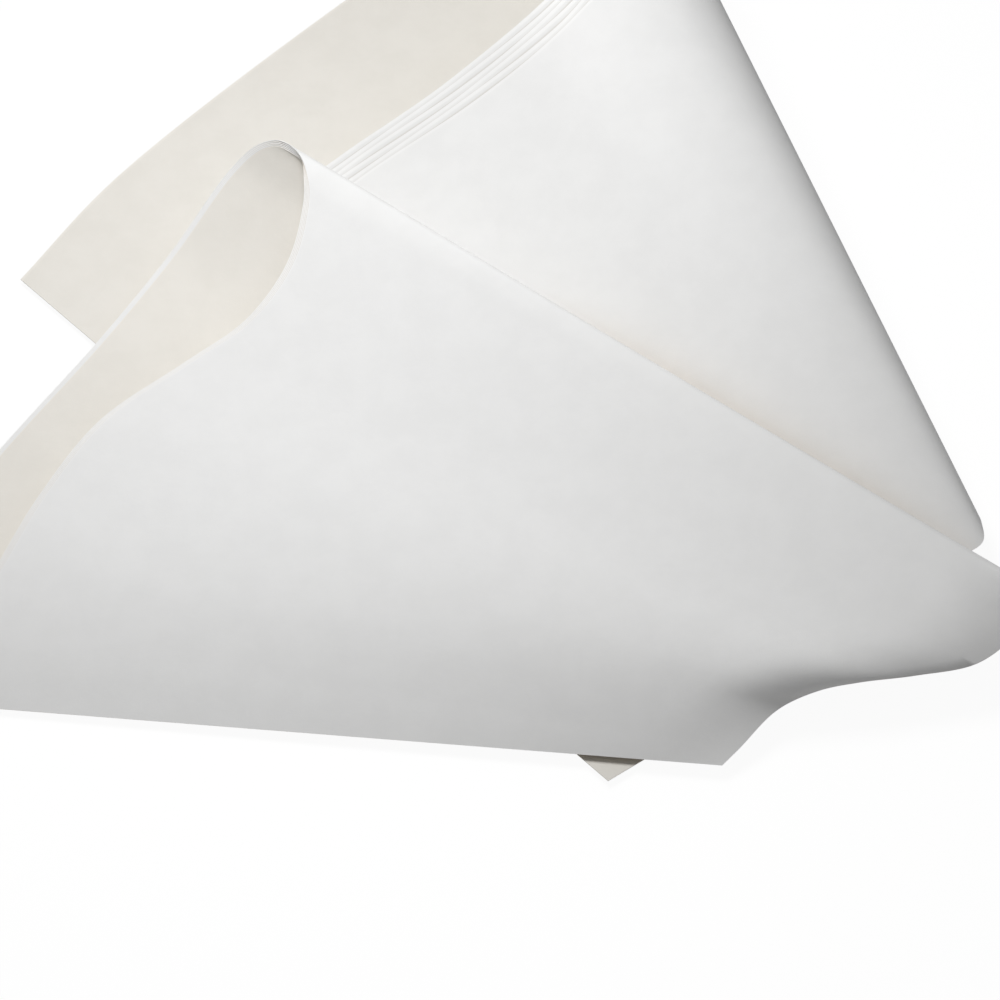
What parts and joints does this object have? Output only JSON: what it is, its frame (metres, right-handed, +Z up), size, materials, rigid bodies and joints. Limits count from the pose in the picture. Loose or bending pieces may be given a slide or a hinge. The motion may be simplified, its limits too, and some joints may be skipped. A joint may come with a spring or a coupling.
{
  "type": "laboratory filter paper",
  "caption": "Loose stack of large white laboratory filter paper sheets, folded over at the right and again over a long ridge at the front.",
  "frame": {"origin": "middle of the footprint, on the table that the sheets lie on", "axes": "+Z up, +X to the right and +Y away from the front of the folded stack"},
  "size_m": [0.7784, 0.8084, 0.1466],
  "materials": {
    "filter_paper": "matt soft fibrous uncoated paper, off-white, slightly fuzzy at the cut edges"
  },
  "bodies": {
    "root": {"lower_sheet_1": "filter_paper", "lower_sheet_2": "filter_paper", "lower_sheet_3": "filter_paper", "lower_sheet_4": "filter_paper", "lower_sheet_5": "filter_paper", "lower_sheet_6": "filter_paper", "upper_sheet_1": "filter_paper", "upper_sheet_2": "filter_paper", "upper_sheet_3": "filter_paper", "upper_sheet_4": "filter_paper", "upper_sheet_5": "filter_paper"}
  },
  "joints": []
}
